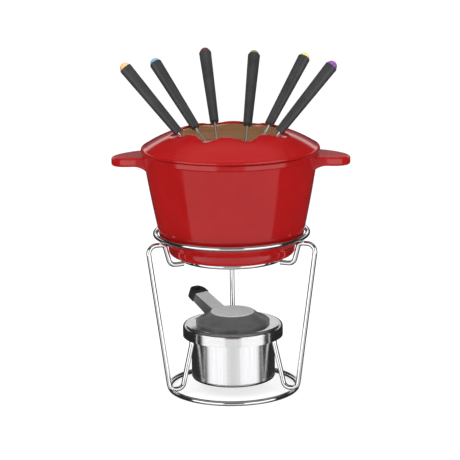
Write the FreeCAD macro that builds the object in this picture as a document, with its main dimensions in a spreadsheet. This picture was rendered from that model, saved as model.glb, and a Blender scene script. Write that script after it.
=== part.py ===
"""Fondue pot set: cast-iron pot with a fork guard and six forks, on a wire stand with a burner.

Millimetres. +Z is up, the table is the plane Z = 0, and the origin is the centre of the stand's
base ring. The user stands on the -Y side.
"""

import FreeCAD, Part
import math
import os
import Sketcher

# The driving dimensions: one cell of the sheet each.
SIZES = {
    # wire stand
    "wire_radius": 2.4,
    "base_ring_radius": 63.8,
    "seat_ring_radius": 50.3,
    "seat_ring_height": 135.6,
    "pot_ring_radius": 75.1,
    "pot_ring_height": 159.1,
    "burner_ring_radius": 45.4,
    "burner_ring_height": 62.8,
    # pot
    "pot_bottom": 138.05,
    "pot_wall": 4.0,
    "foot_radius": 61.8,
    "shoulder_radius": 69.9,
    "shoulder_height": 152.8,
    "rim_radius": 86.2,
    "rim_height": 242.0,
    "flare_radius": 1230.0,
    "tab_top": 238.4,
    "tab_droop": 4.4,
    "tab_underside": 227.8,
    "tab_half_width": 22.5,
    "tab_reach": 117.0,
    "tab_straight": 88.0,
    # fork guard
    "guard_radius": 87.6,
    "guard_thickness": 3.4,
    "dome_radius": 115.0,
    "lip_mean_radius": 49.8,
    "lip_wave": 3.7,
    "notch_height": 258.9,
    "notch_radius": 9.0,
    "notch_count": 8,
    "scallop_radius": 13.0,
    # burner
    "sheet_metal": 0.8,
    "cup_radius": 41.6,
    "cup_bottom": 11.0,
    "cup_corner": 3.2,
    "cover_radius": 49.8,
    "cover_top": 67.0,
    "cover_skirt": 12.3,
    "cover_corner": 3.8,
    "cover_opening": 30.0,
    "pad_top": 44.0,
    # snuffer
    "snuffer_radius": 36.7,
    "snuffer_plate_radius": 21.6,
    "snuffer_top": 78.0,
    "arm_width": 17.6,
    "arm_length": 46.5,
    "arm_rise": 10.7,
    # forks
    "handle_length": 81.5,
    "handle_end_radius": 4.5,
    "handle_top_radius": 6.2,
    "cap_height": 4.5,
    "shaft_radius": 1.4,
    "shaft_length": 120.0,
    "tine_length": 22.0,
}

# Turn about Z of each group of pieces, in degrees.
LEG_TURNS = {"left": -154.5, "right": -25.5, "back": 90.0}
POT_TURN = -2.6
GUARD_TURN = -4.0
SNUFFER_TURN = 132.0

# Forks: the lower end of the handle (X, Y, Z), then, in degrees, its heading in plan, its rise,
# and its turn about its own axis, which lays a head flat where the shaft runs close to the lip.
FORKS = {
    "orange": ((-49.75, -18.09, 262.4), 164.53, 49.38, 135.0),
    "blue": ((-33.67, 23.67, 259.57), 136.88, 47.39, 0.0),
    "dark_red": ((-15.47, 46.52, 261.34), 100.07, 51.43, 0.0),
    "green": ((17.36, 40.99, 258.62), 80.96, 51.47, 0.0),
    "yellow": ((38.36, 20.33, 262.52), 47.66, 47.98, 0.0),
    "purple": ((47.21, -24.45, 262.85), 15.21, 48.92, 40.0),
}


class Length:
    """A size with its value in millimetres and the expression that gives it in the sheet."""

    def __init__(self, value, text):
        self.value = value
        self.text = text

    def __add__(self, other):
        other = as_length(other)
        return Length(self.value + other.value, f"({self.text} + {other.text})")

    def __sub__(self, other):
        other = as_length(other)
        return Length(self.value - other.value, f"({self.text} - {other.text})")

    def __mul__(self, factor):
        return Length(self.value * factor, f"({self.text} * {factor})")


def as_length(number):
    if isinstance(number, Length):
        return number
    return Length(float(number), repr(float(number)))


def make_sheet(doc):
    sheet = doc.addObject("Spreadsheet::Sheet", "Sizes")
    for row, (alias, value) in enumerate(SIZES.items(), start=1):
        sheet.set(f"A{row}", alias.replace("_", " "))
        sheet.set(f"B{row}", str(value))
        sheet.setAlias(f"B{row}", alias)
    doc.recompute()
    return sheet


doc = FreeCAD.newDocument("fondue_pot_set")
sheet = make_sheet(doc)
size = {alias: Length(float(sheet.get(alias)), f"Sizes.{alias}") for alias in SIZES}


def bind(feature, prop, length):
    feature.setExpression(prop, as_length(length).text)


def turned(angle, axis=(0, 0, 1), position=(0, 0, 0)):
    return FreeCAD.Placement(
        FreeCAD.Vector(*position), FreeCAD.Rotation(FreeCAD.Vector(*axis), angle)
    )


def new_body(label):
    body = doc.addObject("PartDesign::Body", label)
    body.Label = label
    return body


def new_sketch(body, name, role, offset=0.0):
    sketch = body.newObject("Sketcher::SketchObject", name)
    plane = [f for f in body.Origin.OriginFeatures if f.Role == role][0]
    sketch.AttachmentSupport = [(plane, "")]
    sketch.MapMode = "FlatFace"
    sketch.AttachmentOffset = FreeCAD.Placement(FreeCAD.Vector(0, 0, offset), FreeCAD.Rotation())
    return sketch


def arc_between(start, end, radius):
    """Arc of a circle from start to end. A positive radius turns left on the way."""
    middle = (start + end) * 0.5
    chord = end - start
    to_centre = FreeCAD.Vector(-chord.y, chord.x, 0).normalize()
    height = math.sqrt(radius * radius - (chord.Length / 2) ** 2)
    centre = middle + to_centre * math.copysign(height, radius)
    circle = Part.Circle(centre, FreeCAD.Vector(0, 0, 1), abs(radius))
    first, last = (start, end) if radius > 0 else (end, start)
    return Part.ArcOfCircle(circle, circle.parameter(first), circle.parameter(last))


def draw_outline(sketch, corners):
    """Closed outline through corners (across, up[, radius of the arc to the next corner]).

    Every corner's place and every arc's radius is bound to the sheet.
    """
    points = [FreeCAD.Vector(as_length(c[0]).value, as_length(c[1]).value, 0) for c in corners]
    starts, ends = [], []
    for i, corner in enumerate(corners):
        after = points[(i + 1) % len(points)]
        if len(corner) == 3:
            radius = as_length(corner[2])
            edge = sketch.addGeometry(arc_between(points[i], after, radius.value))
            number = sketch.addConstraint(Sketcher.Constraint("Radius", edge, abs(radius.value)))
            bind(sketch, f"Constraints[{number}]", radius if radius.value > 0 else radius * -1)
            left = radius.value > 0
        else:
            edge = sketch.addGeometry(Part.LineSegment(points[i], after))
            left = True
        starts.append((edge, 1 if left else 2))
        ends.append((edge, 2 if left else 1))
    for i, corner in enumerate(corners):
        sketch.addConstraint(Sketcher.Constraint("Coincident", *ends[i - 1], *starts[i]))
        pin_point(sketch, starts[i], as_length(corner[0]), as_length(corner[1]))


def pin_point(sketch, point, across, up):
    for kind, length, axis in (("DistanceX", across, -2), ("DistanceY", up, -1)):
        if length.value == 0:
            sketch.addConstraint(Sketcher.Constraint("PointOnObject", *point, axis))
        else:
            number = sketch.addConstraint(
                Sketcher.Constraint(kind, -1, 1, *point, length.value)
            )
            bind(sketch, f"Constraints[{number}]", length)


def revolve(body, name, corners, kind="PartDesign::Revolution"):
    """Add or groove the solid that an outline in the radius-height plane sweeps about Z."""
    sketch = new_sketch(body, name + "_outline", "XZ_Plane")
    draw_outline(sketch, corners)
    feature = body.newObject(kind, name)
    feature.Profile = sketch
    feature.ReferenceAxis = (sketch, ["V_Axis"])
    feature.Angle = 360
    doc.recompute()
    return feature


def extrude(body, name, sketch, length, kind="PartDesign::Pad", both_sides=False, flip=False):
    feature = body.newObject(kind, name)
    feature.Profile = sketch
    bind(feature, "Length", length)
    feature.Length = as_length(length).value
    feature.Midplane = both_sides
    feature.Reversed = flip
    doc.recompute()
    return feature


def fillet(body, name, base, edges, radius):
    feature = body.newObject("PartDesign::Fillet", name)
    feature.Base = (base, [f"Edge{number}" for number in edges])
    bind(feature, "Radius", radius)
    doc.recompute()
    return feature


def circles_at(feature, radius, height):
    """Numbers of a feature's circular edges about Z with this radius at this height."""
    numbers = []
    for number, edge in enumerate(feature.Shape.Edges, start=1):
        if isinstance(edge.Curve, Part.Circle):
            same_radius = abs(edge.Curve.Radius - as_length(radius).value) < 0.01
            same_height = abs(edge.Curve.Center.z - as_length(height).value) < 0.01
            if same_radius and same_height:
                numbers.append(number)
    return numbers


# ---------------------------------------------------------------- stand

WIRE = size["wire_radius"]


def make_ring(label, radius, height):
    ring = doc.addObject("Part::Torus", label)
    ring.Label = label
    bind(ring, "Radius1", radius)
    bind(ring, "Radius2", WIRE)
    bind(ring, "Placement.Base.z", height)
    return ring


def leg_corners():
    """The leg wire's centre line as corners (radius, height, bend radius), from the seat down."""
    crest = size["pot_ring_height"].value - 4.7
    seat = size["seat_ring_height"].value - 2.4
    foot = 6.6
    return [
        (size["seat_ring_radius"].value + 2.2, seat, 0.0),
        (66.6, seat, 7.0),
        (72.4, crest, 5.0),
        (90.3, crest, 7.5),
        (69.6, foot, 6.8),
        (55.9, foot, 6.6),
        (45.4, 50.0, 14.0),
        (44.9, size["burner_ring_height"].value - 2.6, 0.0),
    ]


def rounded_path(corners):
    """Lines and tangent arcs along a row of corners, in the sketch plane."""
    points = [FreeCAD.Vector(c[0], c[1], 0) for c in corners]
    path = []
    at = points[0]
    for i in range(1, len(points) - 1):
        back = (points[i - 1] - points[i]).normalize()
        ahead = (points[i + 1] - points[i]).normalize()
        half_angle = back.getAngle(ahead) / 2
        radius = corners[i][2]
        reach = radius / math.tan(half_angle)
        begin = points[i] + back * reach
        finish = points[i] + ahead * reach
        centre = points[i] + (back + ahead).normalize() * (radius / math.sin(half_angle))
        middle = centre + (points[i] - centre).normalize() * radius
        path.append(Part.LineSegment(at, begin))
        path.append(Part.Arc(begin, middle, finish))
        at = finish
    path.append(Part.LineSegment(at, points[-1]))
    return path


def make_leg(label, turn, rings):
    """One bent wire: under the seat ring, out under the pot ring, down, and up to the burner."""
    body = new_body(label + "_wire")
    corners = leg_corners()
    path = new_sketch(body, label + "_path", "XZ_Plane")
    for curve in rounded_path(corners):
        path.addGeometry(curve)
    section = new_sketch(body, label + "_section", "YZ_Plane", offset=corners[0][0])
    centre = FreeCAD.Vector(0, corners[0][1], 0)
    circle = section.addGeometry(Part.Circle(centre, FreeCAD.Vector(0, 0, 1), WIRE.value))
    number = section.addConstraint(Sketcher.Constraint("Radius", circle, WIRE.value))
    bind(section, f"Constraints[{number}]", WIRE)
    pipe = body.newObject("PartDesign::AdditivePipe", label + "_pipe")
    pipe.Profile = section
    pipe.Spine = (path, [])
    body.Placement = turned(turn)
    leg = doc.addObject("Part::Cut", label)
    leg.Label = label
    leg.Base = body
    leg.Tool = rings
    return leg


def make_stand():
    rings = [
        make_ring("stand_base_ring", size["base_ring_radius"], WIRE),
        make_ring("stand_seat_ring", size["seat_ring_radius"], size["seat_ring_height"]),
        make_ring("stand_pot_ring", size["pot_ring_radius"], size["pot_ring_height"]),
        make_ring("stand_burner_ring", size["burner_ring_radius"], size["burner_ring_height"]),
    ]
    welds = doc.addObject("Part::MultiFuse", "ring_seats")
    welds.Shapes = rings
    legs = [make_leg(f"stand_leg_{side}", turn, welds) for side, turn in LEG_TURNS.items()]
    return rings + legs


# ---------------------------------------------------------------- pot and fork guard


def make_pot():
    body = new_body("pot")
    rim, top = size["rim_radius"], size["rim_height"]
    bottom, foot = size["pot_bottom"], size["foot_radius"]
    shoulder, shoulder_top = size["shoulder_radius"], size["shoulder_height"]

    # Both tab handles are the ends of one bar across the pot, later hollowed with the pot.
    plan = new_sketch(body, "tabs_plan", "XY_Plane", offset=size["tab_top"].value)
    draw_tab_plan(plan)
    tabs = extrude(body, "tabs", plan, 24.0, flip=True)
    under = new_sketch(body, "tabs_profile", "XZ_Plane")
    for side in (1, -1):
        draw_tab_profile(under, side)
    tabs = extrude(body, "tabs_trimmed", under, 80.0, kind="PartDesign::Pocket", both_sides=True)
    tabs = fillet(body, "tabs_soft_edges", tabs, tab_rim_edges(tabs), 2.4)

    outside = revolve(
        body,
        "outside",
        [
            (0, bottom),
            (foot, bottom),
            (foot + 0.8, bottom + 10.0),
            (shoulder, shoulder_top, size["flare_radius"]),
            (rim - 1.0, top - 6.6),
            (rim, top - 5.4),
            (rim, top),
            (0, top),
        ],
    )
    outside = fillet(body, "foot_corner", outside, circles_at(outside, foot, bottom), 5.0)
    outside = fillet(
        body, "shoulder_root", outside, circles_at(outside, foot + 0.8, bottom + 10.0), 2.5
    )
    outside = fillet(
        body, "shoulder_corner", outside, circles_at(outside, shoulder, shoulder_top), 4.0
    )
    outside = fillet(body, "rim_corner", outside, circles_at(outside, rim, top), 1.6)
    wall = size["pot_wall"]
    solid_volume = outside.Shape.Volume
    inside = revolve(
        body,
        "inside",
        [
            (0, bottom + wall * 1.25),
            (foot - wall * 2.4, bottom + wall * 1.25, 9.0),
            (foot - wall * 0.7, bottom + 12.5),
            (shoulder - wall, shoulder_top + 4.0, size["flare_radius"]),
            (rim - wall, top),
            (rim - wall, top + 2.0),
            (0, top + 2.0),
        ],
        kind="PartDesign::Groove",
    )
    require(inside.Shape.Volume < 0.5 * solid_volume, "the pot's inside was not cut")
    body.Placement = turned(POT_TURN)
    return body


def draw_tab_plan(sketch):
    """Two half ellipses joined by straight sides."""
    side, straight = size["tab_half_width"].value, size["tab_straight"].value
    reach = size["tab_reach"].value - straight
    quarter = math.pi / 2
    for direction in (1, -1):
        centre = FreeCAD.Vector(direction * straight, 0, 0)
        ellipse = Part.Ellipse(centre, reach, side)
        first = -quarter if direction == 1 else quarter
        sketch.addGeometry(Part.ArcOfEllipse(ellipse, first, first + math.pi))
        y = direction * side
        start = FreeCAD.Vector(direction * straight, y, 0)
        sketch.addGeometry(Part.LineSegment(start, FreeCAD.Vector(-direction * straight, y, 0)))


def draw_tab_profile(sketch, side):
    """What is cut away above and below one tab: it droops to its tip, with a hollow below."""
    top, under = size["tab_top"], size["tab_underside"]
    draw_outline(
        sketch,
        [
            (82.0 * side, top),
            (82.0 * side, top + 8.0),
            (130.0 * side, top + 8.0),
            (130.0 * side, top - size["tab_droop"]),
        ],
    )
    draw_outline(
        sketch,
        [
            (130.0 * side, under - 2.2),
            (96.0 * side, under + 0.6, 18.0 * side),
            (80.0 * side, under - 5.4),
            (76.0 * side, under - 18.0),
            (130.0 * side, under - 18.0),
        ],
    )


def tab_rim_edges(feature):
    """Edges round the outline of both tabs, above and below, outside the pot's wall."""
    numbers = []
    for number, edge in enumerate(feature.Shape.Edges, start=1):
        box = edge.BoundBox
        outside = max(abs(box.XMin), abs(box.XMax)) > 84.5
        across = box.XLength < 0.01 or box.ZLength > 15.0
        if outside and not across:
            numbers.append(number)
    return numbers


def make_guard():
    """Domed ring on the pot's rim, with a wavy opening and eight shallow notches for forks."""
    body = new_body("fork_guard")
    edge, seat = size["guard_radius"], size["rim_height"]
    thick = size["guard_thickness"]
    inner = size["rim_radius"] - size["pot_wall"] - 1.0
    dome = revolve(
        body,
        "dome",
        [
            (edge, seat),
            (edge, seat + 1.2, 4.3),
            (edge - 2.2, seat + 4.0, size["dome_radius"]),
            (40.0, seat + 21.4),
            (40.0, seat + 21.4 - thick, size["dome_radius"] * -1),
            (inner - 3.4, seat + 4.6),
            (inner - 3.0, seat - 3.4),
            (inner, seat - 3.4),
            (inner, seat),
        ],
    )
    groove = new_sketch(body, "notch_section", "YZ_Plane")
    half_step = 180.0 / size["notch_count"].value
    groove.AttachmentOffset = turned(half_step, axis=(0, 1, 0))
    radius = size["notch_radius"]
    height = size["notch_height"] + radius
    centre = FreeCAD.Vector(0, height.value, 0)
    circle = groove.addGeometry(Part.Circle(centre, FreeCAD.Vector(0, 0, 1), radius.value))
    groove.addConstraint(Sketcher.Constraint("PointOnObject", circle, 3, -2))
    number = groove.addConstraint(Sketcher.Constraint("Radius", circle, radius.value))
    bind(groove, f"Constraints[{number}]", radius)
    number = groove.addConstraint(Sketcher.Constraint("DistanceY", -1, 1, circle, 3, centre.y))
    bind(groove, f"Constraints[{number}]", height)
    notch = extrude(body, "notch", groove, 80.0, kind="PartDesign::Pocket", flip=True)
    pattern = body.newObject("PartDesign::PolarPattern", "notches")
    pattern.Originals = [notch]
    pattern.Axis = ([f for f in body.Origin.OriginFeatures if f.Role == "Z_Axis"][0], [""])
    pattern.Angle = 360
    bind(pattern, "Occurrences", size["notch_count"])
    body.Tip = pattern
    doc.recompute()
    require(pattern.Shape.Volume < dome.Shape.Volume - 2000, "the notches were not cut")

    plan = new_sketch(body, "opening_plan", "XY_Plane", offset=seat.value - 10.0)
    for arc in opening_arcs():
        plan.addGeometry(arc)
    opening = extrude(body, "opening", plan, 60.0, kind="PartDesign::Pocket", flip=True)
    require(opening.Shape.Volume < pattern.Shape.Volume - 2000, "the opening was not cut")
    body.Placement = turned(GUARD_TURN)
    return body


def opening_arcs():
    """Scalloped outline: arcs that bulge out at the notches, tangent to arcs that bulge in."""
    count = int(size["notch_count"].value)
    step = 2 * math.pi / count
    widest = size["lip_mean_radius"].value + size["lip_wave"].value
    narrowest = size["lip_mean_radius"].value - size["lip_wave"].value
    outward = size["scallop_radius"].value
    reach = widest - outward
    cosine = math.cos(step / 2)
    inward = (reach**2 + narrowest**2 - 2 * reach * narrowest * cosine - outward**2) / (
        2 * (outward - narrowest + reach * cosine)
    )
    up = FreeCAD.Vector(0, 0, 1)
    hubs = []
    for i in range(count):
        for angle, distance, radius in (
            ((i + 0.5) * step, reach, outward),
            ((i + 1.0) * step, narrowest + inward, inward),
        ):
            hub = FreeCAD.Vector(distance * math.cos(angle), distance * math.sin(angle), 0)
            hubs.append((hub, radius, angle))
    arcs = []
    for i, (hub, radius, angle) in enumerate(hubs):
        before, after = hubs[i - 1][0], hubs[(i + 1) % len(hubs)][0]
        start = hub + (before - hub).normalize() * radius
        end = hub + (after - hub).normalize() * radius
        outwards = 1 if i % 2 == 0 else -1
        middle = hub + FreeCAD.Vector(math.cos(angle), math.sin(angle), 0) * radius * outwards
        arcs.append(Part.Arc(start, middle, end))
    return arcs


# ---------------------------------------------------------------- burner


def make_cup():
    """Drawn steel cup with a small rim turned out under the cover ring."""
    body = new_body("burner_cup")
    radius, bottom, corner = size["cup_radius"], size["cup_bottom"], size["cup_corner"]
    sheet_metal = size["sheet_metal"]
    lip = size["cover_top"] - sheet_metal
    revolve(
        body,
        "cup",
        [
            (0, bottom),
            (radius - corner, bottom, corner),
            (radius, bottom + corner),
            (radius, lip - sheet_metal),
            (radius + 2.8, lip - sheet_metal),
            (radius + 2.8, lip),
            (radius - sheet_metal, lip),
            (radius - sheet_metal, bottom + corner, (corner - sheet_metal) * -1),
            (radius - corner, bottom + sheet_metal),
            (0, bottom + sheet_metal),
        ],
    )
    return body


def make_cover_ring():
    """Wide drawn rim with a skirt, a round opening and one narrow air slot."""
    body = new_body("burner_cover_ring")
    radius, top, corner = size["cover_radius"], size["cover_top"], size["cover_corner"]
    sheet_metal = size["sheet_metal"]
    low = top - size["cover_skirt"]
    ring = revolve(
        body,
        "ring",
        [
            (size["cover_opening"], top - sheet_metal),
            (radius - corner, top - sheet_metal, (corner - sheet_metal) * -1),
            (radius - sheet_metal, top - corner),
            (radius - sheet_metal, low),
            (radius, low),
            (radius, top - corner, corner),
            (radius - corner, top),
            (size["cover_opening"], top),
        ],
    )
    volume = ring.Shape.Volume
    slot = new_sketch(body, "air_slot_plan", "XY_Plane", offset=top.value)
    slot_radius = size["snuffer_radius"] + 2.9
    draw_outline(
        slot,
        [(slot_radius, -3.5), (slot_radius + 1.2, -3.5), (slot_radius + 1.2, 3.5), (slot_radius, 3.5)],
    )
    cut = extrude(body, "air_slot", slot, 3.0, kind="PartDesign::Pocket")
    require(cut.Shape.Volume < volume - 5, "the air slot was not cut")
    body.Placement = turned(155.0)
    return body


def make_disc(label, radius, low, high):
    disc = doc.addObject("Part::Cylinder", label)
    disc.Label = label
    bind(disc, "Radius", radius)
    bind(disc, "Height", as_length(high) - low)
    bind(disc, "Placement.Base.z", low)
    return disc


def make_burner():
    inside = size["cup_radius"] - size["sheet_metal"]
    floor = size["cup_bottom"] + size["sheet_metal"]
    fuel_pad = make_disc("burner_fuel_pad", inside - 2.6, floor + 0.2, size["pad_top"])
    screen = make_disc("burner_screen", inside - 0.4, size["pad_top"], size["pad_top"] + 1.0)
    return [make_cup(), make_cover_ring(), fuel_pad, screen]


# ---------------------------------------------------------------- snuffer


def arm_frame():
    """Where the arm's top line starts and ends, and its unit direction, in the arm's plane."""
    start = FreeCAD.Vector(size["snuffer_plate_radius"].value, size["snuffer_top"].value, 0)
    end = FreeCAD.Vector(size["arm_length"].value, start.y + size["arm_rise"].value, 0)
    return start, end, (end - start).normalize()


def make_snuffer_cover():
    """Shallow hollow cone with its handle arm."""
    body = new_body("snuffer_cover")
    radius, base, top = size["snuffer_radius"], size["cover_top"], size["snuffer_top"]
    start, end, along = arm_frame()
    down = FreeCAD.Vector(along.y, -along.x, 0)
    low_end = end + down * 8.0
    low_start = start + along * 4.0 + down * 10.5
    arm = new_sketch(body, "arm_side", "XZ_Plane")
    draw_outline(
        arm,
        [(12.0, top), (start.x, top), (end.x, end.y), (low_end.x, low_end.y),
         (low_start.x, low_start.y), (12.0, low_start.y)],
    )
    extrude(body, "arm", arm, size["arm_width"], both_sides=True)
    revolve(
        body,
        "cone",
        [
            (0, base),
            (radius, base),
            (radius, base + 2.2),
            (radius - 1.2, base + 3.4, -30.0),
            (size["snuffer_plate_radius"] + 1.2, top),
            (0, top),
        ],
    )
    inside = revolve(
        body,
        "hollow",
        [
            (0, base - 1.0),
            (radius - 3.4, base - 1.0),
            (radius - 3.4, base + 1.2),
            (size["snuffer_plate_radius"] - 1.0, top - 2.6),
            (0, top - 2.6),
        ],
        kind="PartDesign::Groove",
    )
    require(inside.Shape.Volume < 40000, "the snuffer was not hollowed")
    body.Placement = turned(SNUFFER_TURN)
    return body


def make_snuffer_plate():
    """Thin disc on top of the cone, with a strip that runs up the arm."""
    body = new_body("snuffer_plate")
    top, thick = size["snuffer_top"], size["sheet_metal"]
    start, end, along = arm_frame()
    up = FreeCAD.Vector(-along.y, along.x, 0) * thick.value
    side = new_sketch(body, "strip_side", "XZ_Plane")
    draw_outline(
        side,
        [(12.0, top), (start.x, top), (end.x, end.y), (end.x + up.x, end.y + up.y),
         (start.x - 0.15, top + thick), (12.0, top + thick)],
    )
    extrude(body, "strip", side, size["arm_width"] - 2.0, both_sides=True)
    revolve(
        body,
        "disc",
        [(0, top), (size["snuffer_plate_radius"], top),
         (size["snuffer_plate_radius"], top + thick), (0, top + thick)],
    )
    body.Placement = turned(SNUFFER_TURN)
    return body


def make_snuffer_grip():
    """Grip on the arm's end, rounded in plan, with a hanging hole."""
    body = new_body("snuffer_grip")
    start, end, along = arm_frame()
    down = FreeCAD.Vector(along.y, -along.x, 0)
    tip = end + along * 12.5
    low_tip = tip + down * 7.6
    low_end = end + down * 8.6
    high_end = end - down * 0.8
    high_tip = tip - down * 0.4
    side = new_sketch(body, "grip_side", "XZ_Plane")
    draw_outline(
        side,
        [(high_end.x, high_end.y), (high_tip.x, high_tip.y),
         (low_tip.x, low_tip.y), (low_end.x, low_end.y)],
    )
    block = extrude(body, "grip", side, size["arm_width"] + 0.8, both_sides=True)
    upright = [
        number
        for number, edge in enumerate(block.Shape.Edges, start=1)
        if edge.BoundBox.XMin > tip.x - 1.0 and edge.BoundBox.YLength < 0.01
        and edge.BoundBox.ZLength > 5.0
    ]
    grip = fillet(body, "grip_round_end", block, upright, 7.6)
    hole = new_sketch(body, "hanging_hole_plan", "XY_Plane", offset=end.y + 20.0)
    centre = (end + along * 6.6 + down * 3.6).x
    hole_curve = Part.Ellipse(
        FreeCAD.Vector(centre, 4.6, 0), FreeCAD.Vector(centre + 3.2, 0, 0),
        FreeCAD.Vector(centre, 0, 0),
    )
    hole.addGeometry(hole_curve)
    volume = grip.Shape.Volume
    cut = extrude(body, "hanging_hole", hole, 60.0, kind="PartDesign::Pocket")
    require(cut.Shape.Volume < volume - 100, "the hanging hole was not cut")
    body.Placement = turned(SNUFFER_TURN)
    return body


# ---------------------------------------------------------------- forks


def fork_placement(end_point, heading, rise, roll):
    """Puts a fork drawn along +Z, with its handle's lower end at the origin, where it leans."""
    lean = FreeCAD.Rotation(FreeCAD.Vector(0, 1, 0), 90.0 - rise)
    spin = FreeCAD.Rotation(FreeCAD.Vector(0, 0, 1), heading)
    own = FreeCAD.Rotation(FreeCAD.Vector(0, 0, 1), roll)
    return FreeCAD.Placement(FreeCAD.Vector(*end_point), spin.multiply(lean).multiply(own))


def make_fork_handle(label):
    """Tapered handle with a bore for the shaft and a socket for the cap."""
    body = new_body(label)
    length, low, high = size["handle_length"], size["handle_end_radius"], size["handle_top_radius"]
    bore = size["shaft_radius"] + 0.05
    revolve(
        body,
        label + "_turned",
        [
            (0, 18.0),
            (bore, 18.0),
            (bore, 0),
            (low - 0.8, 0, 0.8),
            (low, 0.8),
            (high, length - 1.6, 1.6),
            (high - 0.9, length),
            (3.05, length),
            (3.05, length - 4.0),
            (0, length - 4.0),
        ],
    )
    return body


def make_fork_cap(label):
    """Domed colour button with a peg that goes into the handle."""
    body = new_body(label)
    length, base = size["handle_length"], size["handle_top_radius"] - 0.9
    height = size["cap_height"]
    sphere = (base.value**2 + height.value**2) / (2 * height.value)
    revolve(
        body,
        label + "_turned",
        [
            (0, length - 3.9),
            (3.0, length - 3.9),
            (3.0, length),
            (base, length, sphere),
            (0, length + height),
        ],
    )
    return body


def make_fork_shaft(label):
    """Round shaft, fixed in the handle, that ends in a flat head with two tines."""
    body = new_body(label)
    radius, length, tine = size["shaft_radius"], size["shaft_length"], size["tine_length"]
    neck = length - tine - 6.0
    revolve(
        body,
        label + "_rod",
        [(0, neck * -1), (radius, neck * -1), (radius, 17.8), (0, 17.8)],
    )
    head = new_sketch(body, label + "_head_plan", "XZ_Plane")
    crotch = (length - tine) * -1
    tip = length * -1
    draw_outline(
        head,
        [
            (radius * -1, (neck - 3.0) * -1),
            (-3.7, crotch + 1.5),
            (-3.7, tip + 4.0),
            (-3.0, tip),
            (-1.8, tip + 4.5),
            (-1.7, crotch - 1.0, -1.75),
            (1.7, crotch - 1.0),
            (1.8, tip + 4.5),
            (3.0, tip),
            (3.7, tip + 4.0),
            (3.7, crotch + 1.5),
            (radius, (neck - 3.0) * -1),
        ],
    )
    extrude(body, label + "_head", head, 1.6, both_sides=True)
    return body


def make_forks():
    pieces = []
    for colour, place in FORKS.items():
        placement = fork_placement(*place)
        for piece in (
            make_fork_handle(f"fork_{colour}_handle"),
            make_fork_shaft(f"fork_{colour}_shaft"),
            make_fork_cap(f"fork_{colour}_cap"),
        ):
            piece.Placement = placement
            pieces.append(piece)
    return pieces


# ---------------------------------------------------------------- checks and export


def require(truth, message):
    if not truth:
        raise RuntimeError(message)


def export(parts):
    doc.recompute()
    for item in doc.Objects:
        bad = [state for state in item.State if state in ("Invalid", "Error")]
        require(not bad, f"{item.Name} is {bad}")
    os.makedirs("parts", exist_ok=True)
    for part in parts:
        shape = part.Shape
        require(not shape.isNull() and shape.isValid(), f"{part.Label} has a bad shape")
        require(len(shape.Solids) == 1, f"{part.Label} has {len(shape.Solids)} solids")
        shape.exportStep(f"parts/{part.Label}.step")
    print(f"wrote {len(parts)} parts")


export(
    make_stand()
    + [make_pot(), make_guard()]
    + make_burner()
    + [make_snuffer_cover(), make_snuffer_plate(), make_snuffer_grip()]
    + make_forks()
)
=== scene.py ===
"""Fondue pot set: looks, fine meshes, light and camera. Lengths are in metres unless said."""

import math

import bmesh
import bpy
from mathutils import Matrix, Vector


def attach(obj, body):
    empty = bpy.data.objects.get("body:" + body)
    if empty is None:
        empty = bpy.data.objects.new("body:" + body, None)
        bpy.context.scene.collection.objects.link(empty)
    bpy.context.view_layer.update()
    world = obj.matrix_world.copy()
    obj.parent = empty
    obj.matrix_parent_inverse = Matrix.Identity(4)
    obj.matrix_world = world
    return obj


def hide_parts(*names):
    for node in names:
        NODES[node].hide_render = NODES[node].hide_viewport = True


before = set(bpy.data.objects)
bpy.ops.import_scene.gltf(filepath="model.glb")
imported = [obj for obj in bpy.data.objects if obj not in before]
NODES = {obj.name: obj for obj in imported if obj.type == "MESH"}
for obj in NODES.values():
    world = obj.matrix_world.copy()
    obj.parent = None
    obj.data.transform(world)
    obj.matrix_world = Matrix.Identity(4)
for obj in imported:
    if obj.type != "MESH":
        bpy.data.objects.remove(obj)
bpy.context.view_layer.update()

SCENE = bpy.context.scene
MM = 0.001

# Sizes in mm. The rings are the CAD's. The guard keeps to the CAD's outer edge and opening, but
# its section is drawn here: 3.4 thick measured upright, up to about 0.6 thinner than the CAD's
# under the dome, and up to about 1.3 off its surface at the lip. Its seat is 0.02 higher, so that
# it doesn't cut the pot's rim.
GUARD_TURN = math.radians(-4.0)
LIP_MEAN, LIP_WAVE, NOTCHES = 49.8, 3.7, 8
DOME_EDGE, DOME_EDGE_HEIGHT = 85.4, 246.0
DOME_RISE, DOME_CURVE = 0.63, 0.00545
GUARD_THICKNESS = 3.4
SEAT_HEIGHT = 242.02
WIRE_RADIUS = 2.4
RINGS = {
    "stand_base_ring": (63.8, 2.4),
    "stand_seat_ring": (50.3, 135.6),
    "stand_pot_ring": (75.1, 159.1),
    "stand_burner_ring": (45.4, 62.8),
}


# ------------------------------------------------------------ small node-tree helpers


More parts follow.
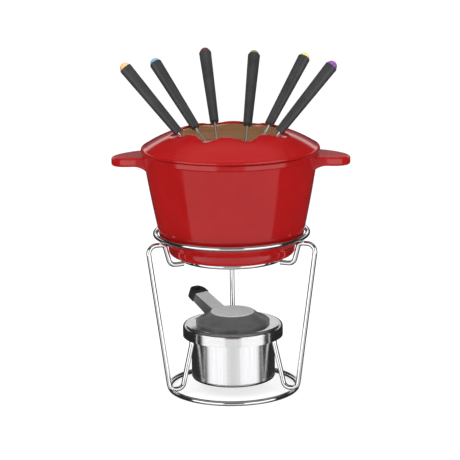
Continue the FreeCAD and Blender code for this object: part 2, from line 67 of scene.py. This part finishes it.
class Nodes:
    """A material's node tree, with short calls for the nodes used here."""

    def __init__(self, name):
        self.material = bpy.data.materials.new(name)
        self.material.use_nodes = True
        self.tree = self.material.node_tree
        self.tree.nodes.clear()
        self.out = self.tree.nodes.new("ShaderNodeOutputMaterial")
        self.coords = self.tree.nodes.new("ShaderNodeTexCoord").outputs["Object"]

    def add(self, kind, **values):
        node = self.tree.nodes.new(kind)
        for key, value in values.items():
            setattr(node, key, value)
        return node

    def put(self, socket, value):
        if isinstance(value, bpy.types.NodeSocket):
            self.tree.links.new(value, socket)
        elif isinstance(value, (tuple, list)) and len(value) == 3 and socket.type == "RGBA":
            socket.default_value = (*value, 1.0)
        else:
            socket.default_value = value

    def math(self, operation, a, b=0.0, c=None):
        node = self.add("ShaderNodeMath", operation=operation)
        self.put(node.inputs[0], a)
        self.put(node.inputs[1], b)
        if c is not None:
            self.put(node.inputs[2], c)
        return node.outputs[0]

    def scaled(self, scale):
        node = self.add("ShaderNodeMapping")
        self.put(node.inputs["Vector"], self.coords)
        node.inputs["Scale"].default_value = scale
        return node.outputs["Vector"]

    def noise(self, scale, detail=3.0, rough=0.5, vector=None):
        node = self.add("ShaderNodeTexNoise")
        self.put(node.inputs["Vector"], vector or self.coords)
        node.inputs["Scale"].default_value = scale
        node.inputs["Detail"].default_value = detail
        node.inputs["Roughness"].default_value = rough
        return node.outputs["Fac"]

    def spread(self, value, low, high, from_low=0.3, from_high=0.7):
        node = self.add("ShaderNodeMapRange")
        self.put(node.inputs["Value"], value)
        node.inputs["From Min"].default_value = from_low
        node.inputs["From Max"].default_value = from_high
        node.inputs["To Min"].default_value = low
        node.inputs["To Max"].default_value = high
        return node.outputs["Result"]

    def mix(self, factor, a, b):
        """Colour a where the factor is 0 and b where it is 1. 6, 7 and 2 are the colour sockets."""
        node = self.add("ShaderNodeMix", data_type="RGBA")
        self.put(node.inputs["Factor"], factor)
        self.put(node.inputs[6], a)
        self.put(node.inputs[7], b)
        return node.outputs[2]

    def position(self):
        split = self.add("ShaderNodeSeparateXYZ")
        self.put(split.inputs[0], self.coords)
        return split.outputs

    def radius(self):
        x, y, _ = self.position()
        total = self.math("ADD", self.math("MULTIPLY", x, x), self.math("MULTIPLY", y, y))
        return self.math("SQRT", total)

    def bump(self, height, strength, distance):
        node = self.add("ShaderNodeBump")
        node.inputs["Strength"].default_value = strength
        node.inputs["Distance"].default_value = distance
        self.put(node.inputs["Height"], height)
        return node.outputs["Normal"]

    def surface(self, color, roughness, metallic=0.0, normal=None, **constants):
        shader = self.add("ShaderNodeBsdfPrincipled")
        self.put(shader.inputs["Base Color"], color)
        self.put(shader.inputs["Roughness"], roughness)
        shader.inputs["Metallic"].default_value = metallic
        if normal:
            self.put(shader.inputs["Normal"], normal)
        for name, value in constants.items():
            shader.inputs[name.replace("_", " ")].default_value = value
        self.tree.links.new(shader.outputs[0], self.out.inputs["Surface"])
        return self.material


class WorldNodes(Nodes):
    """The same helpers on the world's tree, with the direction a ray leaves in."""

    def __init__(self, world):
        world.use_nodes = True
        self.tree = world.node_tree
        self.tree.nodes.clear()
        self.out = self.tree.nodes.new("ShaderNodeOutputWorld")
        self.coords = self.tree.nodes.new("ShaderNodeTexCoord").outputs["Generated"]

    def rise(self, value, start, end):
        """0 below start, 1 above end, in degrees."""
        node = self.add("ShaderNodeMapRange", interpolation_type="SMOOTHSTEP")
        self.put(node.inputs["Value"], value)
        node.inputs["From Min"].default_value = math.radians(start)
        node.inputs["From Max"].default_value = math.radians(end)
        return node.outputs["Result"]

    def window(self, value, low, high, soft):
        """1 between low and high, fading out over soft on both sides of each, in degrees."""
        up = self.rise(value, low - soft, low + soft)
        down = self.rise(value, high - soft, high + soft)
        return self.math("SUBTRACT", up, down)


# ------------------------------------------------------------ materials

RED = (0.405, 0.0080, 0.0085)
RED_DEEP = (0.350, 0.0066, 0.0074)
CREAM = (0.900, 0.700, 0.500)
CREAM_DEEP = (0.860, 0.650, 0.450)
RED_SPECK = (0.20, 0.003, 0.004)
BARE_DARK, BARE_LIGHT = (0.24, 0.24, 0.24), (0.34, 0.34, 0.33)


def enamel(name, inside, bare_below=None):
    """Red glossy enamel, cream where inside(nodes) is 1 and matt grey below a height in mm."""
    n = Nodes(name)
    cloud = n.noise(34.0, 4.0, 0.6)
    red = n.mix(n.spread(cloud, 0.0, 1.0), RED, RED_DEEP)
    cream = n.mix(n.spread(cloud, 0.0, 1.0), CREAM, CREAM_DEEP)
    specks = n.spread(n.noise(1400.0, 1.0, 0.4), 0.0, 0.10, 0.66, 0.80)
    red = n.mix(specks, red, RED_SPECK)
    mask = inside(n)
    color = n.mix(mask, red, cream)
    wave = n.noise(190.0, 2.0, 0.45)
    normal = n.bump(wave, 0.10, 0.0002)
    roughness = n.spread(n.noise(60.0, 3.0, 0.6), 0.07, 0.13)
    if bare_below:
        bare = n.math("LESS_THAN", n.math("DIVIDE", n.position()[2], MM), bare_below)
        color = n.mix(bare, color, n.mix(cloud, BARE_DARK, BARE_LIGHT))
        roughness = n.math("MULTIPLY_ADD", bare, 0.5, roughness)
    return n.surface(color, roughness, normal=normal, Specular_IOR_Level=0.5)


# The line along the middle of the pot's wall, in mm: above the shoulder it leans out by
# WALL_SLOPE from (WALL_RADIUS, WALL_HEIGHT), and below it spreads out from the foot.
WALL_SLOPE, WALL_RADIUS, WALL_HEIGHT = 0.1913, 67.9, 156.8
FOOT_TOP, FOOT_RADIUS, SHOULDER_SLOPE = 150.5, 60.6, 1.16
# Heights where the pot's finish changes: within the thickness of its floor, and at its base.
CREAM_ABOVE = 141.5
BARE_BELOW = 138.6
# How far below the dome, and how far out, the guard's cream underside reaches.
GUARD_UNDERSIDE, GUARD_UNDERSIDE_EDGE = 2.9, 83.5


def inside_pot(n):
    """1 on the pot's inner wall and floor: nearer the axis than the middle of its wall."""
    radius = n.math("DIVIDE", n.radius(), MM)
    height = n.math("DIVIDE", n.position()[2], MM)
    upper = n.math("MULTIPLY_ADD", height, WALL_SLOPE, WALL_RADIUS - WALL_HEIGHT * WALL_SLOPE)
    above_foot = n.math("MAXIMUM", n.math("SUBTRACT", height, FOOT_TOP), 0.0)
    lower = n.math("MULTIPLY_ADD", above_foot, SHOULDER_SLOPE, FOOT_RADIUS)
    limit = n.math("MINIMUM", upper, lower)
    within = n.math("LESS_THAN", radius, limit)
    return n.math("MULTIPLY", within, n.math("GREATER_THAN", height, CREAM_ABOVE))


def under_guard(n):
    """1 on the guard's underside: below its dome by more than GUARD_UNDERSIDE, within its edge."""
    radius = n.math("DIVIDE", n.radius(), MM)
    height = n.math("DIVIDE", n.position()[2], MM)
    inward = n.math("SUBTRACT", DOME_EDGE, radius)
    top = n.math("MULTIPLY_ADD", inward, DOME_RISE, DOME_EDGE_HEIGHT)
    sag = n.math("MULTIPLY", n.math("MULTIPLY", inward, inward), DOME_CURVE)
    top = n.math("SUBTRACT", top, sag)
    below = n.math("LESS_THAN", height, n.math("SUBTRACT", top, GUARD_UNDERSIDE))
    return n.math("MULTIPLY", below, n.math("LESS_THAN", radius, GUARD_UNDERSIDE_EDGE))


def chrome(name, color=(0.83, 0.83, 0.84), low=0.035, high=0.085):
    """Bright plated or polished metal."""
    n = Nodes(name)
    cloud = n.noise(180.0, 3.0, 0.5)
    tint = n.mix(n.spread(cloud, 0.0, 1.0), color, tuple(c * 0.93 for c in color))
    roughness = n.spread(n.noise(420.0, 4.0, 0.65), low, high)
    normal = n.bump(n.noise(260.0, 2.0, 0.5), 0.10, 0.0002)
    return n.surface(tint, roughness, 1.0, normal)


def brushed(name, color, scale, low, high, strength, metallic=1.0):
    """Steel with fine scratches: scale is small along the scratches and large across them."""
    n = Nodes(name)
    lines = n.noise(1.0, 5.0, 0.65, n.scaled(scale))
    broad = n.noise(1.0, 2.0, 0.5, n.scaled(tuple(s * 0.22 for s in scale)))
    both = n.math("MULTIPLY_ADD", broad, 0.45, n.math("MULTIPLY", lines, 0.55))
    tint = n.mix(n.spread(both, 0.0, 1.0), tuple(c * 0.78 for c in color), color)
    normal = n.bump(lines, strength, 0.0002)
    return n.surface(tint, n.spread(both, low, high), metallic, normal)


def drawn_steel():
    """Cup wall: fine lines up the wall, laid round the axis by angle."""
    n = Nodes("cup_steel")
    x, y, z = n.position()
    angle = n.math("ARCTAN2", y, x)
    joined = n.add("ShaderNodeCombineXYZ")
    n.put(joined.inputs[0], n.math("MULTIPLY", angle, 160.0))
    n.put(joined.inputs[1], n.math("MULTIPLY", z, 60.0))
    lines = n.noise(1.0, 5.0, 0.6, joined.outputs[0])
    wide = n.add("ShaderNodeCombineXYZ")
    n.put(wide.inputs[0], n.math("MULTIPLY", angle, 22.0))
    n.put(wide.inputs[1], n.math("MULTIPLY", z, 8.0))
    bands = n.noise(1.0, 2.0, 0.5, wide.outputs[0])
    both = n.math("MULTIPLY_ADD", bands, 0.5, n.math("MULTIPLY", lines, 0.5))
    tint = n.mix(n.spread(both, 0.0, 1.0), (0.60, 0.60, 0.61), (0.80, 0.80, 0.81))
    normal = n.bump(lines, 0.06, 0.0002)
    return n.surface(tint, n.spread(both, 0.18, 0.28), 1.0, normal)


def moulded(name, color, low, high, grain, strength, coat=0.0):
    """Plastic with a fine moulded grain, a roughness from low to high and an optional coat."""
    n = Nodes(name)
    cloud = n.noise(55.0, 4.0, 0.6)
    light = tuple(min(1.0, c * 1.22 + 0.004) for c in color)
    tint = n.mix(n.spread(cloud, 0.0, 1.0), tuple(c * 0.86 for c in color), light)
    normal = n.bump(n.noise(grain, 3.0, 0.6), strength, 0.0002)
    roughness = n.spread(n.noise(grain * 0.6, 3.0, 0.6), low, high)
    return n.surface(tint, roughness, normal=normal, Coat_Weight=coat, Coat_Roughness=0.06)


WEAVE_PITCH = 0.0016


def gauze():
    """Woven steel wire: steel colour on the wires, and painted shade in the gaps between them,
    where the holes of the mesh would be dark.
    """
    n = Nodes("steel_gauze")
    x, y, _ = n.position()
    wires = []
    for along in (x, y):
        wave = n.math("SINE", n.math("MULTIPLY", along, 2 * math.pi / WEAVE_PITCH))
        wires.append(n.math("MULTIPLY_ADD", wave, 0.5, 0.5))
    weave = n.math("MAXIMUM", wires[0], wires[1])
    # The near-black between the wires is painted shade standing in for the dark holes of the mesh.
    tint = n.mix(n.spread(weave, 0.0, 1.0, 0.55, 0.95), (0.04, 0.04, 0.042), (0.60, 0.60, 0.61))
    return n.surface(tint, n.spread(weave, 0.5, 0.25), 0.9, n.bump(weave, 0.8, 0.0005))


def fibre():
    """Pressed mineral fibre."""
    n = Nodes("fuel_pad")
    clumps = n.noise(420.0, 5.0, 0.7)
    tint = n.mix(n.spread(clumps, 0.0, 1.0), (0.62, 0.58, 0.50), (0.86, 0.84, 0.79))
    normal = n.bump(n.noise(1500.0, 4.0, 0.7), 0.8, 0.0006)
    return n.surface(tint, n.spread(clumps, 0.85, 0.98), normal=normal)


CAPS = {
    "orange": (0.82, 0.50, 0.21),
    "blue": (0.16, 0.40, 0.57),
    "dark_red": (0.17, 0.018, 0.022),
    "green": (0.17, 0.22, 0.035),
    "yellow": (0.83, 0.68, 0.20),
    "purple": (0.27, 0.075, 0.38),
}

MATERIALS = {
    "pot": enamel("enamel_pot", inside_pot, BARE_BELOW),
    "guard": enamel("enamel_guard", under_guard),
    "wire": chrome("chrome_wire"),
    "cup": drawn_steel(),
    "cover": brushed("cover_steel", (0.70, 0.70, 0.70), (300.0, 300.0, 900.0), 0.13, 0.20, 0.05),
    "pad": fibre(),
    "gauze": gauze(),
    "snuffer": moulded("dark_plastic", (0.112, 0.113, 0.114), 0.27, 0.38, 900.0, 0.12),
    "plate": brushed(
        "brushed_plate", (0.88, 0.88, 0.88), (260.0, 260.0, 260.0), 0.34, 0.50, 0.35, 0.15
    ),
    "grip": moulded("black_grip", (0.016, 0.016, 0.017), 0.38, 0.52, 1500.0, 0.25),
    "handle": moulded("handle_plastic", (0.034, 0.034, 0.036), 0.32, 0.46, 1100.0, 0.45),
    "shaft": chrome("fork_steel", (0.86, 0.86, 0.87), 0.07, 0.14),
}
for colour, value in CAPS.items():
    name = "cap_" + colour
    MATERIALS[name] = moulded(name, value, 0.16, 0.24, 700.0, 0.06, coat=0.5)


# ------------------------------------------------------------ CAD nodes carried over


def set_material(node, material):
    """Gives a CAD node one of the materials above, in place of what it came with."""
    piece = NODES[node]
    piece.data.materials.clear()
    piece.data.materials.append(MATERIALS[material])


set_material("pot", "pot")
set_material("burner_cup", "cup")
set_material("burner_cover_ring", "cover")
set_material("burner_fuel_pad", "pad")
set_material("burner_screen", "gauze")
set_material("snuffer_cover", "snuffer")
set_material("snuffer_plate", "plate")
set_material("snuffer_grip", "grip")
for colour in CAPS:
    set_material(f"fork_{colour}_handle", "handle")
    set_material(f"fork_{colour}_shaft", "shaft")
    set_material(f"fork_{colour}_cap", "cap_" + colour)
for node in NODES:
    if node.startswith("stand_"):
        set_material(node, "wire")


# ------------------------------------------------------------ pieces built here


def new_piece(name, mesh_data, material, body, replaced):
    """Links a bmesh as a smooth piece that rides on a body and stands for a CAD node."""
    mesh = bpy.data.meshes.new(name)
    bmesh.ops.recalc_face_normals(mesh_data, faces=mesh_data.faces)
    mesh_data.to_mesh(mesh)
    mesh_data.free()
    for face in mesh.polygons:
        face.use_smooth = True
    piece = bpy.data.objects.new(name, mesh)
    SCENE.collection.objects.link(piece)
    mesh.materials.append(MATERIALS[material])
    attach(piece, body)
    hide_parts(replaced)


GUARD_COLUMNS = 480
DOME_STEPS = 20
DIP_DEPTH, DIP_REACH = 1.5, 9.0
LIP_DEPTH = 3.3
LIP_ROUNDING, LOW_ROUNDING = 1.3, 1.2
DOME_START = 83.0
REGISTER_START = 78.2


def guard_wave(angle):
    """-1 at the middle of a lobe and 1 at the middle of a notch."""
    return -math.cos(NOTCHES * (angle - GUARD_TURN))


def dome_height(radius):
    """Height of the dome's top at a radius, before any dip."""
    inward = DOME_EDGE - radius
    return DOME_EDGE_HEIGHT + DOME_RISE * inward - DOME_CURVE * inward * inward


def guard_profile(angle):
    """Outline (radius, height) in mm of the guard's section at this angle, from seat to seat."""
    wave = guard_wave(angle)
    peak = (0.5 + 0.5 * wave) ** 1.6
    lip = LIP_MEAN + LIP_WAVE * wave

    def top(radius):
        """The dome, with a dip towards the lip at each notch."""
        along = max(0.0, min(1.0, (lip + DIP_REACH - radius) / DIP_REACH))
        dip = DIP_DEPTH * peak * along * along * (3 - 2 * along)
        return dome_height(radius) - dip

    # The seat on the pot's rim, then the rounded outer edge up to the dome.
    points = [(84.6, SEAT_HEIGHT), (87.0, SEAT_HEIGHT), (87.45, 242.35), (87.6, 242.9)]
    for i in range(7):
        turn = math.radians(12 * i)
        points.append((83.4 + 4.2 * math.cos(turn), 243.1 + 3.9 * math.sin(turn) * 0.86))
    points.append((DOME_START, 247.35))

    # The dome, and the rounded lip of the opening.
    dome_end = lip + LIP_ROUNDING
    for i in range(1, DOME_STEPS + 1):
        radius = DOME_START + (dome_end - DOME_START) * i / DOME_STEPS
        points.append((radius, top(radius)))
    crest = top(dome_end)
    for i in range(1, 9):
        turn = math.radians(90 + 11.25 * i)
        across, up = LIP_ROUNDING * math.cos(turn), LIP_ROUNDING * math.sin(turn)
        points.append((dome_end + across, crest - LIP_ROUNDING + up))
    under = crest - LIP_DEPTH
    points.append((lip, under + LOW_ROUNDING + 0.3))
    for i in range(1, 7):
        turn = math.radians(180 + 15 * i)
        across, up = LOW_ROUNDING * math.cos(turn), LOW_ROUNDING * (1 + math.sin(turn))
        points.append((lip + LOW_ROUNDING + across, under + up))

    # The underside, and the register that drops inside the pot's rim.
    under_start = lip + LOW_ROUNDING
    for i in range(1, 13):
        radius = under_start + (REGISTER_START - under_start) * i / 12
        points.append((radius, min(top(radius) - GUARD_THICKNESS, under)))
    points += [(78.4, 238.9), (78.9, 238.62), (80.8, 238.62), (81.2, 239.0)]
    points.append((81.2, SEAT_HEIGHT))
    return points


def build_guard():
    """The guard as one closed skin of sections round the axis, close to the CAD's guard."""
    data = bmesh.new()
    rings = []
    for column in range(GUARD_COLUMNS):
        angle = 2 * math.pi * column / GUARD_COLUMNS
        ring = [
            data.verts.new((r * MM * math.cos(angle), r * MM * math.sin(angle), z * MM))
            for r, z in guard_profile(angle)
        ]
        rings.append(ring)
    count = len(rings[0])
    for column, ring in enumerate(rings):
        after = rings[(column + 1) % GUARD_COLUMNS]
        for i in range(count):
            j = (i + 1) % count
            data.faces.new((ring[i], ring[j], after[j], after[i]))
    new_piece("fork_guard_fine", data, "guard", "guard", "fork_guard")


build_guard()


def ring_mesh(data, radius, height, wire, around=256, across=28):
    """A wire ring: around steps round the axis and across steps round the wire."""
    rows = []
    for i in range(around):
        turn = 2 * math.pi * i / around
        row = []
        for j in range(across):
            lap = 2 * math.pi * j / across
            reach = radius + wire * math.cos(lap)
            place = (reach * math.cos(turn), reach * math.sin(turn), height + wire * math.sin(lap))
            row.append(data.verts.new(place))
        rows.append(row)
    for i, row in enumerate(rows):
        after = rows[(i + 1) % around]
        for j in range(across):
            k = (j + 1) % across
            data.faces.new((row[j], after[j], after[k], row[k]))


def build_rings():
    """The stand's four wire rings, finer than in the CAD."""
    for node, (radius, height) in RINGS.items():
        data = bmesh.new()
        ring_mesh(data, radius * MM, height * MM, WIRE_RADIUS * MM)
        new_piece(node + "_fine", data, "wire", "stand", node)


build_rings()


# ------------------------------------------------------------ floor, light, camera


FLOOR_HALF = 14.0
FLOOR_DROP = 0.00005
FLOOR_GLOW = 0.73


def build_floor():
    """A wide pale sheet, just under the base ring, that the chrome doesn't mirror."""
    mesh = bpy.data.meshes.new("floor")
    half = FLOOR_HALF
    corners = [(-half, -half, 0), (half, -half, 0), (half, half, 0), (-half, half, 0)]
    mesh.from_pydata(corners, [], [(0, 1, 2, 3)])
    floor = bpy.data.objects.new("floor", mesh)
    floor.location.z = -FLOOR_DROP
    SCENE.collection.objects.link(floor)
    n = Nodes("pale_floor")
    tint = n.mix(n.spread(n.noise(3.0), 0.0, 1.0), (0.40, 0.40, 0.40), (0.42, 0.42, 0.42))
    white = (1.0, 1.0, 1.0, 1.0)
    material = n.surface(
        tint, 0.9, Emission_Color=white, Emission_Strength=FLOOR_GLOW, Specular_IOR_Level=0.0
    )
    mesh.materials.append(material)
    floor.visible_glossy = False


def softbox(name, place, target, width, height, power):
    """An area light that lights the object but isn't seen or mirrored."""
    light = bpy.data.lights.new(name, "AREA")
    light.shape = "RECTANGLE"
    light.size = width
    light.size_y = height
    light.energy = power
    lamp = bpy.data.objects.new(name, light)
    lamp.location = place
    lamp.rotation_euler = (Vector(target) - Vector(place)).to_track_quat("-Z", "Y").to_euler()
    lamp.visible_camera = False
    lamp.visible_glossy = False
    SCENE.collection.objects.link(lamp)


# The even light from all round, and what is mirrored outside the zones below.
SOFT_LIGHT = 0.75
DARK = 0.03

# What the glossy surfaces mirror: each zone's brightness, and where it lies in degrees as
# (from, to, softness), first round from the front (-Y), alike on both sides, then up.
ZONES = {
    "softboxes": (1.5, (18, 75, 3.5), (-21.5, 25, 2)),
    "front": (1.15, (-30, 18, 5), (-21.5, -11.6, 0.4)),
    "gap": (0.20, (-30, 18, 5), (-11.6, 25, 0.4)),
    "table": (0.62, (-30, 70, 1.5), (-62, -21, 1.5)),
    "low_backdrop": (0.12, (122, 250, 10), (5, 13, 1.5)),
    "backdrop": (1.15, (122, 250, 10), (12.6, 19, 1.2)),
    "ceiling": (0.28, (-30, 250, 5), (48, 200, 14)),
}


def build_world():
    """White for the camera, an even soft light, and a studio of bright zones in reflections."""
    world = bpy.data.worlds.new("studio")
    SCENE.world = world
    n = WorldNodes(world)
    x, y, z = n.position()
    around = n.math("ABSOLUTE", n.math("ARCTAN2", x, n.math("MULTIPLY", y, -1.0)))
    up = n.math("ARCSINE", z)
    total = DARK
    for strength, sideways, upwards in ZONES.values():
        zone = n.math("MULTIPLY", n.window(around, *sideways), n.window(up, *upwards))
        total = n.math("MULTIPLY_ADD", zone, strength, total)
    joined = n.add("ShaderNodeCombineXYZ")
    for socket in joined.inputs:
        n.put(socket, total)
    paths = n.add("ShaderNodeLightPath")
    color = n.mix(paths.outputs["Is Glossy Ray"], (SOFT_LIGHT,) * 3, joined.outputs[0])
    color = n.mix(paths.outputs["Is Camera Ray"], color, (1.0, 1.0, 1.0))
    background = n.add("ShaderNodeBackground")
    n.put(background.inputs["Color"], color)
    n.tree.links.new(background.outputs[0], n.out.inputs["Surface"])


def build_lights():
    """A key light from the left, a fill from the right and one from above."""
    softbox("key", (-0.75, -0.75, 1.15), (0, 0, 0.16), 0.7, 0.7, 5.0)
    softbox("fill", (0.95, -0.85, 0.75), (0, 0, 0.15), 0.5, 0.9, 3.0)
    softbox("top", (0.0, -0.25, 1.4), (0, 0.05, 0.2), 0.5, 0.4, 5.2)


CAMERA_PLACE = (-0.0015, -1.9105, 0.5873)
CAMERA_DOWN, CAMERA_ROLL = math.radians(12.576), math.radians(0.80)
CAMERA_LENS = 155.4


def build_camera():
    """A long lens in front of the set, a little above it and looking down."""
    camera = bpy.data.cameras.new("camera")
    camera.sensor_width = 36.0
    camera.lens = CAMERA_LENS
    eye = bpy.data.objects.new("camera", camera)
    SCENE.collection.objects.link(eye)
    pitch = Matrix.Rotation(math.pi / 2 - CAMERA_DOWN, 4, "X")
    roll = Matrix.Rotation(-CAMERA_ROLL, 4, "Z")
    eye.matrix_world = Matrix.Translation(CAMERA_PLACE) @ pitch @ roll
    SCENE.camera = eye


build_floor()
build_world()
build_lights()
build_camera()
SCENE.view_settings.view_transform = "Standard"
